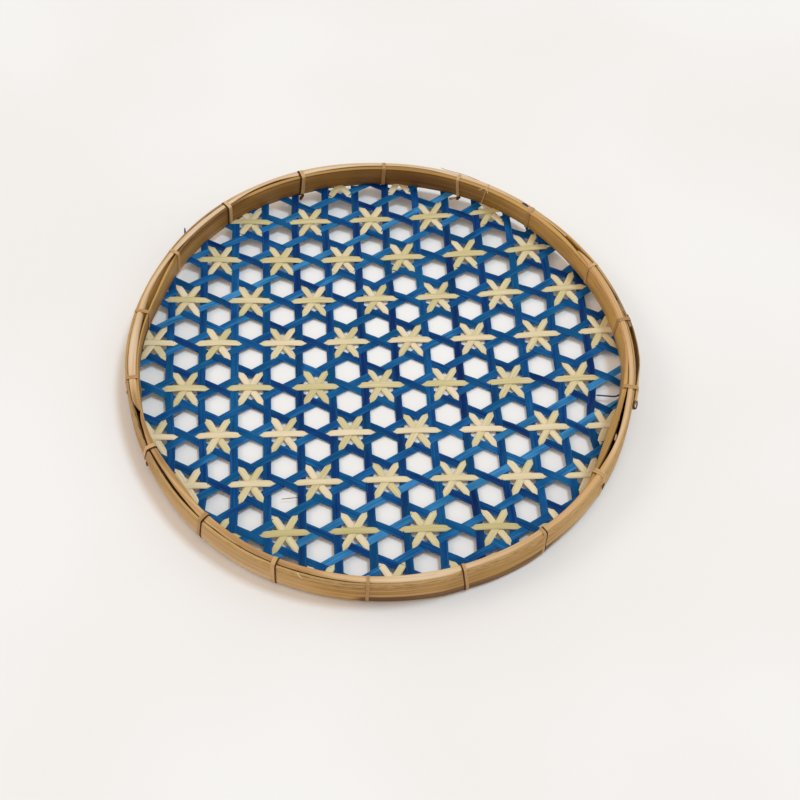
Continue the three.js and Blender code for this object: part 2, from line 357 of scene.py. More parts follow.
# A ribbon along an open path, rolled about it by radians
def ribbonRings(path, side, width, thickness, roll=0.0):
    side, up = squareTo(np.gradient(path, axis=0), side)
    roll = np.broadcast_to(roll, len(path))[:, None]
    side, up = side * np.cos(roll) + up * np.sin(roll), up * np.cos(roll) - side * np.sin(roll)
    rings, across = sectionRings(path, side, up, width, thickness)
    run = np.concatenate([[0], np.cumsum(np.linalg.norm(np.diff(path, axis=0), axis=1))])
    return rings, run, across


# The grain of each point, from a start that differs from piece to piece
def grainOf(run, across, tone):
    start = rng.uniform(0, 4000)
    length = np.broadcast_to(run[:, None] + start, across.shape)
    return np.stack([length, across, np.full(across.shape, tone)], -1)


# Rim: its oval, how it rises at the back and draws in there, and how proud of it the canes stand
rim = dict(
    oval=0.0057, slant=0.0057, drawnIn=0.95,
    rise=[
        (0, 0), (28, 0), (45, 0.35), (60, 0.7), (75, 1), (90, 1.1), (115, 1.1), (125, 1), (140, 0.6),
        (155, 0.2), (165, 0),
    ],
    proud=[(0, 1.25), (30, 1.2), (40, 0.5), (150, 0.5), (165, 1.2), (360, 1.25)],
)


def rimRise(angle):
    return along(angle, rim["rise"], 4)


# Radius of the rim's circle: a slightly slanted oval, drawn in at the back by a share of the rise
def rimRadius(angle):
    turn = np.radians(angle)
    oval = outerRadius * (1 - rim["oval"] * np.cos(2 * turn) - rim["slant"] * np.sin(2 * turn))
    return oval - rim["drawnIn"] * rimRise(angle) * np.sin(turn) ** 2


# The hoops. Stops of a top are (angle, millimetres outwards from the rim's circle), of a lean how far
# the top is further out than the foot, and of a bottom heights from the floor. The rim tone is added
# along the top edge, painted shade is taken off the outer foot, and painted shade by height makes the
# inner hoop's top lighter and the outer hoop's darker.
outerHoop = dict(
    start=5.5, end=374, step=1.0, closed=False, blur=dict(top=1.5, lean=4, bottom=4), bevel=0.35,
    foot=0.9, belly=0.15, paintedHeightShade=-0.22, thickness=2.0, lapThickness=[(346, 2.0), (366, 1.7), (374, 0.6)],
    top=[
        (5.5, 1.7), (8, 1.3), (12, 0.8), (25, 0.6), (31, 0.1), (45, 0.1), (49, 0.9), (60, 1.8), (72, 2.4),
        (80, 2.4), (87, 2.2), (92, 2.4), (96, 2.9), (101, 3.4), (110, 3.9), (124, 4), (132, 3.7), (141, 2.7),
        (150, 1.4), (160, 1.1), (166, 1.3), (180, 1.3), (190, 0.4), (200, 0.1), (207, 0.2), (212, 0.6),
        (217, 1.3), (222, 1.8), (230, 2.4), (240, 2.9), (250, 2.5), (260, 2), (265, 1.2), (272, 0.6),
        (279, -0.2), (286, -2.4), (300, -2.7), (326, -2.9), (343, -2.7), (350, -2), (355, -1.4), (360, -1),
        (366, -0.9), (374, -1.3),
    ],
    lean=[
        (5.5, 0), (180, 0), (188, -1), (200, -1), (210, -0.6), (240, -0.4), (250, 0.3), (262, 0.5),
        (275, 0.3), (284, -1.2), (290, -1.9), (301, -1.9), (306, -0.9), (318, -0.9), (330, -0.8),
        (345, -0.2), (374, 0.3),
    ],
    bottom=[
        (5.5, 4.64), (30, 5), (60, 7), (90, 8), (120, 7), (150, 5), (170, 4.6), (200, 4), (215, 2.6),
        (240, 2.2), (262, 1.4), (275, 0.7), (285, 0.9), (301, 1.3), (307, 4.4), (318, 4), (350, 3.4),
        (374, 4.64),
    ],
    tone=[
        (5, 0.5), (14, 0.45), (22, 0.6), (40, 0.7), (60, 0.9), (100, 0.9), (124, 0.85), (129, 0.35),
        (147, 0.3), (152, 0.6), (180, 0.5), (190, 0.36), (205, 0.42), (212, 0.6), (240, 0.64), (265, 0.36),
        (290, 0.48), (320, 0.52), (343, 0.45), (374, 0.4),
    ],
    rimTone=[(5, -0.75), (13, -0.6), (18, 0)],
    # Painted shade darkens the outer foot at the front, standing for the shadow under it
    footShade=[(5, 0), (262, 0), (269, 2.6), (300, 2.6), (305, 0.3), (318, 0)],
)
innerHoop = dict(
    start=0, end=360, step=1.0, closed=True, bevel=0.35, foot=0.4, belly=0.1, paintedHeightShade=0.2,
    blur=dict(top=2, thickness=1.5, lean=5, bottom=5, grooveDepth=2, grooveDrop=2),
    top=[
        (0, -7.6), (14, -7.5), (22, -7.8), (30, -8), (40, -7.4), (50, -6.2), (60, -5.6), (70, -5.2),
        (90, -4.9), (105, -4.7), (115, -4.2), (123, -4), (130, -4.2), (140, -5.3), (147, -6.3), (152, -8),
        (156, -9.4), (160, -10.2), (165, -9.8), (170, -9.2), (175, -8.8), (180, -8.5), (187, -8.2),
        (192, -7.6), (200, -7), (207, -7.6), (215, -8.6), (219, -8), (222, -6.2), (230, -5.2), (240, -4.2),
        (246, -4.1), (255, -4.9), (265, -5.9), (275, -7.4), (285, -8.2), (300, -8.7), (312, -8.9),
        (318, -9.3), (321, -10.3), (324, -12.3), (328, -14.3), (332, -15.4), (336, -15.5), (340, -14.6),
        (344, -13), (348, -11.2), (353, -9.4), (357, -8.2),
    ],
    thickness=[
        (0, 1.8), (28, 1.8), (33, 3), (38, 3.7), (45, 4.1), (52, 3.6), (60, 3.4), (70, 3.2), (78, 4.3),
        (83, 4.2), (89, 3.1), (100, 2.7), (107, 2.9), (112, 3.2), (120, 3.4), (126, 2.6), (135, 2.2),
        (147, 1.9), (155, 1.8), (170, 1.4), (187, 1.4), (200, 1.8), (318, 1.8), (324, 2.6), (328, 4.3),
        (332, 5), (336, 5.2), (340, 4.5), (344, 3.6), (348, 3.3), (353, 2.2), (357, 1.8),
    ],
    lean=[
        (0, 0.2), (8, -0.2), (30, -0.8), (50, -1.4), (80, -1.4), (105, -1.2), (120, -1.6), (138, -1.6),
        (150, -1.4), (160, -2.4), (168, -3.2), (173, -2.8), (179, -1.5), (185, -0.5), (192, 0), (320, 0),
        (332, -0.8), (345, 0.4), (352, 0.8),
    ],
    bottom=[
        (0, 5.6), (20, 6.6), (40, 8), (60, 8.6), (90, 7.9), (115, 7.1), (135, 6.1), (150, 5.8), (165, 6.2),
        (200, 5.6), (300, 5.4),
    ],
    grooveDepth=[
        (0, 0), (14, 0), (18, 0.5), (60, 0.6), (120, 0.6), (128, 1), (146, 1), (150, 0), (340, 0),
    ],
    grooveDrop=[(0, 3), (18, 3), (30, 2.8), (45, 1.8), (60, 1.2), (90, 0.9), (150, 1.0), (340, 3)],
    # Tone by angle: from 0 to 48 degrees the face is painted lighter, as painted light
    tone=[
        (0, 0.92), (40, 0.95), (48, 0.82), (55, 0.58), (65, 0.46), (75, 0.3), (85, 0.34), (95, 0.42),
        (125, 0.45), (133, 0.62), (147, 0.66), (160, 0.62), (167, 0.62), (185, 0.6), (205, 0.6), (300, 0.5),
        (318, 0.5), (324, 0.4), (346, 0.4), (354, 0.85),
    ],
    # Rim tone: from 128 to 146 degrees the top edge and groove are darkened as painted shade under the
    # overhanging top
    rimTone=[
        (0, 0.4), (20, 0.4), (28, -0.2), (45, -0.2), (52, 0), (66, 0.1), (72, 0.15), (88, 0.1), (122, 0.1),
        (128, -1), (146, -1), (150, 0), (340, 0),
    ],
)


toneBlur = 3


# One of a band's values, 0 without stops for it. Angles before its start belong to its far end.
def bandAt(band, key, angle):
    turned = np.where(angle < band["start"], angle + 360, angle)
    return along(turned, band.get(key, [(0, 0)]), band["blur"].get(key, toneBlur), band["closed"])


# Section of a band: shares of its height up the outer side and down the inner side, and between them
# an edge and a groove, millimetres below the top. Then each point's share of foot, of edge wear and
# painted sheen, and of rim tone, and the painted shade in the groove per millimetre of its depth.
section = dict(
    up=np.array([0, 0.025, 0.07, 0.25, 0.33, 0.6, 0.98, 1.0]), down=[0.5, 0.75, 0.98, 1.0],
    foot=np.array([1, 0.5, 0.15, 0, 0, 0, 0, 0]), edge=0.4, grooveHalf=0.5, groovePaintedShade=0.9,
    wearAndSheen=[0.5, 1, 0, 0, 0, 0, 1, 1, 1, 1, 0, 0, 0, 0, 0, 1, 0.5], rimTone=[0.5, 1, 1, 0.7, 0.5, 0.3],
)
noGroove = (0, 3.0)  # depth, and millimetres below the top


# A band bent round the rim. Its outer side goes straight from foot to top, plus a belly of half a sine
# wave; its inner side is the thickness further in, with half of that belly and the groove
def bandRings(angle, band, top, foot, low, high, thickness, groove):
    up, half = section["up"], section["grooveHalf"]
    depth, drop = (np.broadcast_to(value, angle.shape) for value in groove)
    base, lowZ, highZ = rimRadius(angle)[:, None], low[:, None], high[:, None]
    lean = (top - foot)[:, None]
    outer = base + foot[:, None] + lean * up + band["belly"] * np.sin(math.pi * up)
    outer = outer - band["foot"] * section["foot"]
    outer[:, -1] -= band["bevel"]
    edge = np.full(len(angle), section["edge"])
    below = np.stack([0 * edge, edge, drop - half, drop, drop + half], -1)
    down = np.concatenate([below / (highZ - lowZ), np.tile(section["down"], (len(angle), 1))], 1)
    inner = base + (top - thickness)[:, None] - lean * down
    inner[:, [0, -1]] += band["bevel"]
    inner[:, 3] += depth
    inner = inner + 0.5 * band["belly"] * np.sin(math.pi * down)
    outerZ, innerZ = lowZ + (highZ - lowZ) * up, highZ - (highZ - lowZ) * down
    radius, height = np.concatenate([outer, inner], 1), np.concatenate([outerZ, innerZ], 1)
    across = np.concatenate([outerZ, innerZ + 40], 1)
    return placed(angle[:, None], radius, height), np.radians(angle) * outerRadius, across


# A hoop's tone is its own at each angle, plus painted shade times the share of its height, less
# painted shade in the groove and at the foot, and with the rim tone along the top edge
def bendHoop(name, band, angle, top, thickness, material, slot, nodes, groove=noGroove):
    low, high = bandAt(band, "bottom", angle), hoopTop + rimRise(angle)
    foot = top - bandAt(band, "lean", angle)
    rings, run, across = bandRings(angle, band, top, foot, low, high, thickness, groove)
    share = (rings[..., 2] - low[:, None]) / (high - low)[:, None] - 0.5
    tone = bandAt(band, "tone", angle)[:, None] + band["paintedHeightShade"] * share
    edge = len(section["up"])
    tone[:, edge + 3] -= section["groovePaintedShade"] * groove[0]
    tone[:, :edge // 2] -= bandAt(band, "footShade", angle)[:, None]
    tone[:, edge - 1:edge + 5] += bandAt(band, "rimTone", angle)[:, None] * section["rimTone"]
    grain = grainOf(run, across, tone)
    skin(name, rings, grain, section["wearAndSheen"], material, slot, nodes, band["closed"])


def bandAngles(band):
    return np.arange(band["start"], band["end"], band["step"])


angle = bandAngles(outerHoop)
thickness = np.interp(angle, *np.array(outerHoop["lapThickness"]).T)
bendHoop("outer_hoop_band", outerHoop, angle, bandAt(outerHoop, "top", angle), thickness, outerPaint,
         "bamboo_hoop", ["outer_hoop"])

angle = bandAngles(innerHoop)
thickness = bandAt(innerHoop, "thickness", angle)
innerOut = bandAt(innerHoop, "top", angle) + thickness
groove = [bandAt(innerHoop, key, angle) for key in ("grooveDepth", "grooveDrop")]
bendHoop("inner_hoop_band", innerHoop, angle, innerOut, thickness, innerPaint, "inner_hoop",
         ["inner_hoop"], groove)


# The outer hoop's inner wall: its top edge, or its foot where that is further in
def wallAt(angle):
    lean = bandAt(outerHoop, "lean", angle).clip(0)
    return bandAt(outerHoop, "top", angle) - lean - outerHoop["thickness"]


# A brown splint that packs the room between the hoops: it leans from the outer one, a drop below the
# rim's top, to the inner one, at a low height
packing = dict(
    drop=[(0, 2.4), (145, 2.0), (150, 0.9), (165, 0.9), (175, 1.6), (185, 2.4)],
    low=[(0, 9.5), (318, 9.5), (327, 4), (346, 4), (352, 9.5)],
    tone=[
        (0, 0.1), (145, 0.2), (150, 0.62), (163, 0.62), (172, 0.3), (185, 0.1), (190, 0.3), (196, 0.3),
        (200, 0.1),
    ],
    # The painted shade makes the splint lighter along its top and darker along its low edge
    thickness=0.9, air=0.25, narrowest=0.6, slant=0.3, paintedShade=[0.15, 0.15, -0.2, -0.2],
)
wall = wallAt(angle) - packing["air"]
inward = np.minimum(innerOut + packing["air"], wall - packing["narrowest"])
high = hoopTop + rimRise(angle) - along(angle, packing["drop"])
low = along(angle, packing["low"])
thick, slant = packing["thickness"], packing["slant"]
radius = rimRadius(angle)[:, None] + np.stack([wall, wall - thick, inward, inward + thick], -1)
heights = np.stack([high, high + slant, low, low - slant], -1)
tone = along(angle, packing["tone"])[:, None] + np.array(packing["paintedShade"])
grain = grainOf(np.radians(angle) * outerRadius, heights, tone)
rings = placed(angle[:, None], radius, heights)
skin("packing_splint", rings, grain, np.zeros(4), innerPaint, "inner_hoop", [], True)

# A thin splint that covers the outer hoop's lap from outside, and lifts off it at the right
lapCover = dict(
    start=344.4, end=369, step=0.6, closed=False, bevel=0.15, foot=0.3, belly=0, paintedHeightShade=0,
    blur=dict(top=1, thickness=1, lean=4, bottom=4),
    top=[
        (344.4, -0.4), (345.5, 0.1), (347, 0.3), (350, 0.2), (352, 0.7), (354, 1.6), (356.5, 2.2),
        (360, 2.4), (365, 2.4), (369, 2),
    ],
    thickness=[(344.4, 1.9), (348, 1.9), (350, 1.2), (352, 0.9), (354.5, 0.7), (369, 0.6)],
    bottom=[(344, 17), (348, 14), (353, 7)],
    tone=[(344, 0.42), (352, 0.5), (369, 0.6)],
    rimTone=[(344, 0), (351, 0), (354, -0.6)],
)
angle = bandAngles(lapCover)
top, thickness = (bandAt(lapCover, key, angle) for key in ("top", "thickness"))
bendHoop("lap_splint", lapCover, angle, top, thickness, outerPaint, "bamboo_hoop", [])


# The rim's outermost edge: the outer hoop's, or the lap splint's where that is further out
def outsideAt(angle):
    turned = np.where(angle < lapCover["start"], angle + 360, angle)
    hoop, lap = (bandAt(band, "top", angle) for band in (outerHoop, lapCover))
    return np.where(turned < lapCover["end"], np.maximum(lap, hoop), hoop)


print("hoops bent")

# Rim canes: flat splints that lie over the mouth between the hoops. Outer and inner are their sides,
# millimetres outwards from the rim's circle, and a fall is how far the inner side hangs down.
canes = dict(
    base=-0.2, step=0.7, tip=1.2, points=9, widthPower=0.8, crownPower=0.7, fallPower=3, wearAndSheenPower=4,
    fullHalf=1.2, leastCrown=0.4, tipCrown=0.4, blur=1.5,
    fall=[(0, 0), (150, 0.3), (160, 1.2), (168, 2.2), (186, 2.2), (190, 1.0), (195, 0)],
    front=dict(start=194.7, end=391, node="rim_cane_front", outer=[
        (194.7, -5.9), (195.4, -4.9), (197, -4.3), (200, -3.8), (202.5, -3), (204.5, -2.4), (206, -2.9),
        (212, -3.1), (215, -2.6), (219, -2), (223, -1), (227, 0.1), (230, -0.3), (233, 0.5), (236, 0.3),
        (242, 0.5), (248, 0.1), (250, -0.1), (260, -0.4), (265, -0.7), (270, -1.1), (275, -1.6), (280, -2.2),
        (286, -3.9), (300, -4.1), (330, -4.1), (343, -4.1), (350, -3.5), (360, -2.7), (368, -2.4),
        (375, -2.3), (385, -2.3), (388, -3.2), (391, -4.8),
    ], inner=[
        (194.7, -6.4), (200, -6.6), (205, -6.8), (212, -6.9), (218, -6.6), (222, -5.8), (226, -5.2),
        (235, -4.3), (240, -3.9), (246, -3.9), (250, -4.2), (260, -5), (265, -5.6), (275, -7), (280, -7.5),
        (290, -8.2), (312, -8.5), (320, -8.7), (325, -8.6), (330, -7.8), (334, -7.5), (338, -7.9), (343, -8),
        (348, -7.4), (353, -6.9), (360, -6.6), (374, -6.8), (385, -7.1), (387, -6.7), (391, -5.2),
    ], tone=[
        (195, 0.22), (206, 0.35), (208, 0.25), (212, 0.45), (225, 0.5), (236, 0.25), (252, 0.3), (256, 0.6),
        (280, 0.62), (300, 0.52), (345, 0.5), (352, 0.5), (372, 0.56), (391, 0.6),
    ]),
    back=dict(start=36, end=194.2, node="rim_cane_back", outer=[
        (36, -2.1), (45, -1.9), (50, -1.2), (60, 0), (72, 0.5), (80, 0.5), (87, 0.3), (92, 0.5), (96, 1),
        (101, 1.5), (110, 2), (124, 2), (132, 1.2), (142, 0.6), (150, -0.2), (160, -0.5), (170, -0.8),
        (180, -0.9), (190.5, -1.9), (192.2, -2.4), (193.2, -4.2), (194.2, -5.4),
    ], inner=[
        (36, -3.2), (45, -2.9), (50, -2.4), (60, -2.1), (70, -1.9), (76, -0.7), (82, -0.5), (88, -1.1),
        (100, -1.5), (107, -1.6), (110, -0.7), (114, 0.7), (120, 0.6), (124, -0.5), (128, -1.8), (135, -2.8),
        (142, -3.3), (150, -3.1), (160, -3.7), (168, -6), (175, -6.9), (180, -7.1), (185, -7.1), (192, -7),
        (194.2, -6.8),
    ], tone=[
        (36, 0.7), (60, 0.85), (110, 0.85), (125, 0.75), (150, 0.62), (166, 0.66), (180, 0.72), (188, 0.55),
        (190, 0.3), (194, 0.2),
    ]),
)


# A cane's section is half of a flat oval: half the width times a power of the cosine, and the crown
# times a power of the sine. The crown is lower at a tip and where the cane is narrow.
def layCane(name, cane):
    angle = np.arange(cane["start"], cane["end"] + 0.1, canes["step"])
    outer = along(angle, cane["outer"], canes["blur"], False)
    inner = along(angle, cane["inner"], canes["blur"], False)
    arc = np.linspace(0, math.pi, canes["points"])
    middle, half = (outer + inner) / 2, (outer - inner) / 2
    aside = np.sign(np.cos(arc)) * np.abs(np.cos(arc)) ** canes["widthPower"]
    across = middle[:, None] + half[:, None] * aside
    fromEnd = np.minimum(angle - cane["start"], cane["end"] - angle)
    tip = np.clip(fromEnd / canes["tip"], 0, 1) ** 0.5
    crown = along(angle, rim["proud"]) - canes["base"]
    crown = crown * np.clip(half / canes["fullHalf"], canes["leastCrown"], 1)
    crown = crown * (canes["tipCrown"] + (1 - canes["tipCrown"]) * tip)
    low = (hoopTop + rimRise(angle) + canes["base"])[:, None]
    height = low + crown[:, None] * np.sin(arc) ** canes["crownPower"]
    hang = (-np.cos(arc)).clip(0) ** canes["fallPower"]
    height = height - along(angle, canes["fall"])[:, None] * hang
    rings = placed(angle[:, None], rimRadius(angle)[:, None] + across, height)
    tone = along(angle, cane["tone"], toneBlur, False)[:, None]
    grain = grainOf(np.radians(angle) * outerRadius, across, tone)
    wearAndSheen = np.abs(np.cos(arc)) ** canes["wearAndSheenPower"]
    skin(name, rings, grain, wearAndSheen, canePaint, "rim_cane", [cane["node"]])


layCane("front_cane", canes["front"])
layCane("back_cane", canes["back"])
print("canes laid")

# Lashings: each is a turn of split cane round the rim. The legs lean, so a turn is its angle on top,
# those of its inner and outer foot, the width, and the side on which a dark strip of painted shadow
# lies beside it (-1 clockwise, 1 anticlockwise, 0 not). The other lengths say how far off the rim it lies.
lashing = dict(
    thickness=0.6, gap=0.3, slack=0.1, legMiddle=15, innerEdge=(0.6, 0.6), outerEdge=(0.9, 0.2, 0.8),
    underInner=0.8, underOuter=0.6, lowest=0.7, underBoth=0.3, inset=4, tones=(0.2, 0.65),
    turns=[
        (7.5, 8.2, 7.5, 3, 0), (25, 25.3, 25, 2.8, 0), (47.5, 47.9, 47.8, 3, 0), (68, 67.6, 68, 2.6, 0),
        (87, 87.2, 87, 2.8, 0), (107.5, 108, 107.3, 3.2, 0), (128, 128, 128, 3.4, 1),
        (147, 147.3, 147, 2.8, 0), (166, 166, 166, 2.8, 0), (185, 185, 185.5, 2.8, 0),
        (204.5, 204.5, 201.6, 3.2, 1), (226, 226, 224.9, 3.2, 1), (244.4, 244.3, 244.2, 3.4, 1),
        (264, 264, 263.9, 2.3, 0), (284, 284, 284.9, 2.4, -1), (303.1, 303.2, 303, 2.4, 1),
        (323, 323.6, 322, 4, 0), (348, 346.3, 348, 3.2, 0),
    ],
    shadowStrip=dict(width=1.2, thickness=0.6, shown=0.5),
    # Turn, width and thickness of the thread, and of the strip of painted shadow beside the back turn at
    # 107.5 degrees
    thread=((60.3, 61.4, 60), 1.0, 0.35), knotShadow=((108.1, 108.6, 107.9), 1.6, 0.6),
)


# A closed turn of cane, its corners made round: up the inner side, over the top, down the outer side
def lashRim(name, turn, width, thickness, material, nodes):
    top, innerFoot, outerFoot = turn
    here = np.array([float(top % 360)])
    edge = hoopTop + rimRise(here)[0]
    outside = outsideAt(here)[0]
    inside, innerLow, innerLean = (bandAt(innerHoop, key, here)[0] for key in ("top", "bottom", "lean"))
    outerLow = along(here, outerHoop["bottom"], outerHoop["blur"]["bottom"])[0] - lashing["underOuter"]
    innerLow, outerLow = innerLow - lashing["underInner"], max(outerLow, lashing["lowest"])
    lowest = min(innerLow, outerLow) - lashing["underBoth"]
    gap, slack, legMiddle = lashing["gap"], lashing["slack"], lashing["legMiddle"]
    ride = edge + along(here, rim["proud"])[0] + thickness / 2
    (innerIn, innerDrop), (outerIn, outerDip, outerDrop) = lashing["innerEdge"], lashing["outerEdge"]
    # Corners of the turn: angle, distance outwards, height
    corners = rounded(np.array([
        (innerFoot, inside - innerLean - gap, innerLow),
        ((innerFoot + top) / 2, inside - innerLean / 2 - gap - slack, legMiddle),
        (top, inside - gap - slack, edge - innerDrop),
        (top, inside + innerIn, ride),
        (top, (inside + outside) / 2, ride),
        (top, outside - outerIn, ride - outerDip),
        (top, outside + gap, edge - outerDrop),
        ((outerFoot + top) / 2, outside + gap + slack, legMiddle),
        (outerFoot, outside - bandAt(outerHoop, "lean", here)[0] + gap, outerLow),
        ((outerFoot + innerFoot) / 2, (inside + outside) / 2, lowest),
    ]), True)
    path = placed(corners[:, 0], rimRadius(corners[:, 0]) + corners[:, 1], corners[:, 2])
    angle = np.radians(corners[:, 0])
    side = np.column_stack([-np.sin(angle), np.cos(angle), np.zeros(len(angle))])
    side, out = squareTo(np.roll(path, -1, axis=0) - np.roll(path, 1, axis=0), side)
    middle = placed(top, outerRadius - lashing["inset"], legMiddle)
    if np.sum(out * (path - middle)) < 0:
        out = -out
    rings, across = sectionRings(path, side, out, width, thickness)
    grain = grainOf(np.arange(len(path)), across, rng.uniform(*lashing["tones"]))
    skin(name, rings, grain, ribbonWearAndSheen, material, "split_cane", nodes, True)


# Each solid holds two turns, from the second on. A strip of painted shadow lies beside its turn, which
# covers a quarter of it.
shadowStrip = lashing["shadowStrip"]
for i, (*turn, width, side) in enumerate(lashing["turns"]):
    number = str(i + 1)
    node = "lashing_" + str((i - 1) % len(lashing["turns"]) // 2 + 1)
    lashRim("lashing_turn_" + number, turn, width, lashing["thickness"], lashingPaint, [node])
    if side:
        beside = side * math.degrees((width + shadowStrip["shown"] * shadowStrip["width"]) / 2 / outerRadius)
        turn = [at + beside for at in turn]
        lashRim("painted_shadow_turn_" + number, turn, shadowStrip["width"], shadowStrip["thickness"], darkCaneAndShadowPaint, [])
lashRim("thread_turn", *lashing["thread"], lashingPaint, ["lashing_thread"])
print("rim lashed")

# Weave: its middle lies on the floor and its edge climbs between the hoops, higher at the back. Low
# and high are the levels of a blue strip under and over another.
weave = dict(
    pitch=24.4, star=(-2.0, -11.4), rows=6, edgeHeight=4.4, backRise=3.8, restRadius=50, sagPower=1.76,
    edgeInset=2, low=0.75, high=1.35, overNatural=0.25, step=0.9, search=210, searchStep=0.5,
    widthShare=0.04, widthWander=(0.2, 90),
    # Shift from the even pattern: millimetres, power of x, power of y. A pinch is x, y, shift in x.
    settling=[
        (-0.3, 0, 0), (-0.8, 1, 0), (-3.5, 0, 1), (3.6, 1, 1), (-4, 0, 2), (9.5, 2, 1), (4.4, 1, 2),
        (-4, 0, 3),
    ],
    pinches=[
        (144, 73, 3.1), (169, 31, 1.4), (144, -11, 2.2), (-173, -54, 3.6), (169, -54, -6.2),
        (-148, -96, 4.2), (71, -138, 2.4), (120, 115, 2.1), (22, 115, -1.4), (-51, 158, -1.3),
    ],
    pinchReach=22,
)
pitch = weave["pitch"]
rowPitch = pitch * math.sqrt(3)
starAt = np.array(weave["star"])
weaveSpan = range(-weave["rows"], weave["rows"] + 1)


# Stars along a row: two pitches apart, and one pitch further on in every second row
def rowStars(row):
    return [2 * pitch * i + pitch * (row % 2) for i in weaveSpan]


starGrid = np.array([(at, rowPitch * row) for row in weaveSpan for at in rowStars(row)])


# Shift of the weave from its even pattern: in y a cubic in x and y over the hoop's radius, and in x a
# round hump at every pinch
def settle(points):
    x, y = points[:, 0] / outerRadius, points[:, 1] / outerRadius
    drop = sum(size * x**i * y**j for size, i, j in weave["settling"])
    side = np.zeros_like(x)
    for px, py, shift in weave["pinches"]:
        away = (points[:, 0] - px) ** 2 + (points[:, 1] - py) ** 2
        side += shift * np.exp(-away / (2 * weave["pinchReach"] ** 2))
    return points + np.stack([side, drop], -1)


# Height of the weave's underside: level in the middle, then a power of the distance from it
def sag(points):
    reach = np.hypot(points[:, 0], points[:, 1])
    back = np.clip(points[:, 1] / np.maximum(reach, 1), 0, 1) ** 2
    edge = weave["edgeHeight"] + weave["backRise"] * back
    whole = outerRadius - weave["edgeInset"] - weave["restRadius"]
    return edge * (np.clip(reach - weave["restRadius"], 0, None) / whole) ** weave["sagPower"]


# Heights along a strip: level where it crosses another, with a smooth step from stop to stop
def steps(distance, stops):
    at, height = np.array(sorted(stops)).T
    k = np.clip(np.searchsorted(at, distance) - 1, 0, len(at) - 2)
    t = np.clip((distance - at[k]) / (at[k + 1] - at[k]), 0, 1)
    return height[k] + (height[k + 1] - height[k]) * t * t * (3 - 2 * t)


# Unit vectors along a direction in degrees, and square to it on its left
def bearings(direction):
    turn = math.radians(direction)
    return np.array([math.cos(turn), math.sin(turn)]), np.array([-math.sin(turn), math.cos(turn)])


# Where a natural strip ends: an arm that would show for less than the shortest tip ends under its last
# blue crossing
def trimmed(end, row):
    shown = (end / pitch - row % 2 + natural["rises"]) % 2 * pitch
    short = shown < natural["shortestTip"]
    return end - shown - natural["tuck"] * pitch if short else end


# One strip of the weave: a line at a direction and a distance from the star, which settles with the
# weave and ends between the hoops. Its height is the sag, plus the steps over and under the others.
def weaveStrip(name, direction, offset, heights, strip, material, slot, nodes, taper=None, row=0):
    heading, normal = bearings(direction)
    distance = np.arange(-weave["search"], weave["search"], weave["searchStep"])
    spot = settle(starAt + normal * offset + heading * distance[:, None])
    angle = np.degrees(np.arctan2(spot[:, 1], spot[:, 0])) % 360
    inside = np.hypot(*spot.T) < rimRadius(angle) + wallAt(angle) - strip["endInset"]
    if inside.sum() * weave["searchStep"] < strip["shortest"]:
        return
    start, end = distance[inside][[0, -1]]
    if taper:
        start, end = -trimmed(-start, row), trimmed(end, row)
    distance = np.linspace(start, end, int((end - start) / weave["step"]) + 2)
    aside = offset + wander(distance, *strip["wander"])
    spot = settle(starAt + normal * aside[:, None] + heading * distance[:, None])
    path = np.column_stack([spot, sag(spot) + steps(distance, heights) + strip["thickness"] / 2])
    side = np.column_stack([np.tile(-normal, (len(path), 1)), np.zeros(len(path))])
    width = strip["width"] * (1 + rng.uniform(-weave["widthShare"], weave["widthShare"]))
    width = width + wander(distance, *weave["widthWander"])
    if taper:
        width = width * steps(distance, taper)
    roll = wander(distance, *strip["roll"])
    rings, run, across = ribbonRings(path, side, width, strip["thickness"], roll)
    grain = grainOf(run, across, rng.uniform(*strip["tones"][direction]))
    skin(name, rings, grain, ribbonWearAndSheen, material, slot, nodes)


blue = dict(
    width=5.9, thickness=0.42, wander=(0.3, 130), roll=(0.05, 60), endInset=0.4, shortest=10, crossings=10,
    nearStar=0.8, directions={"left_leaning": 150, "upright": 90, "right_leaning": 30},
    passesOver={30: 90, 90: 150, 150: 30},
    # Tones by direction: the right-leaning strips are painted lighter, up into the highlight stops, as
    # painted sheen
    tones={30: (0.6, 1.02), 90: (0.2, 0.64), 150: (0.36, 0.7)},
)


# A blue strip's heights: over one of the other directions and under the next, and higher away from a
# star, where a natural strip runs beneath both
def blueHeights(direction, offset):
    heading, normal = bearings(direction)
    stops = []
    for other in blue["passesOver"]:
        if other == direction:
            continue
        otherNormal = bearings(other)[1]
        over = blue["passesOver"][direction] == other
        for k in range(-blue["crossings"], blue["crossings"]):
            at = ((k + 0.5) * pitch - offset * normal @ otherNormal) / (otherNormal @ heading)
            crossing = normal * offset + heading * at
            nearest = np.min(np.hypot(*(starGrid - crossing).T))
            height = weave["high"] if over else weave["low"]
            if nearest > blue["nearStar"] * pitch:
                height += weave["overNatural"]
            stops.append((at, height))
    return stops


# A solid strip's distance from the star: the middle of its points, set to the nearest even line
def offsetOf(node, direction):
    mesh = node.data
    points = np.zeros(len(mesh.vertices) * 3, np.float32)
    mesh.vertices.foreach_get("co", points)
    away = (points.reshape(-1, 3)[:, :2] / mm - starAt) @ bearings(direction)[1]
    return (round((away.min() + away.max()) / 2 / pitch - 0.5) + 0.5) * pitch


for name in sorted(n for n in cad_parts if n.startswith("blue_strip_")):
    direction = next(v for k, v in blue["directions"].items() if k in name)
    offset = offsetOf(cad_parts[name], direction)
    woven = name.replace("blue_strip", "woven_blue")
    heights = blueHeights(direction, offset)
    weaveStrip(woven, direction, offset, heights, blue, bluePaint, "blue_strip", [name])
print("blue strips woven")

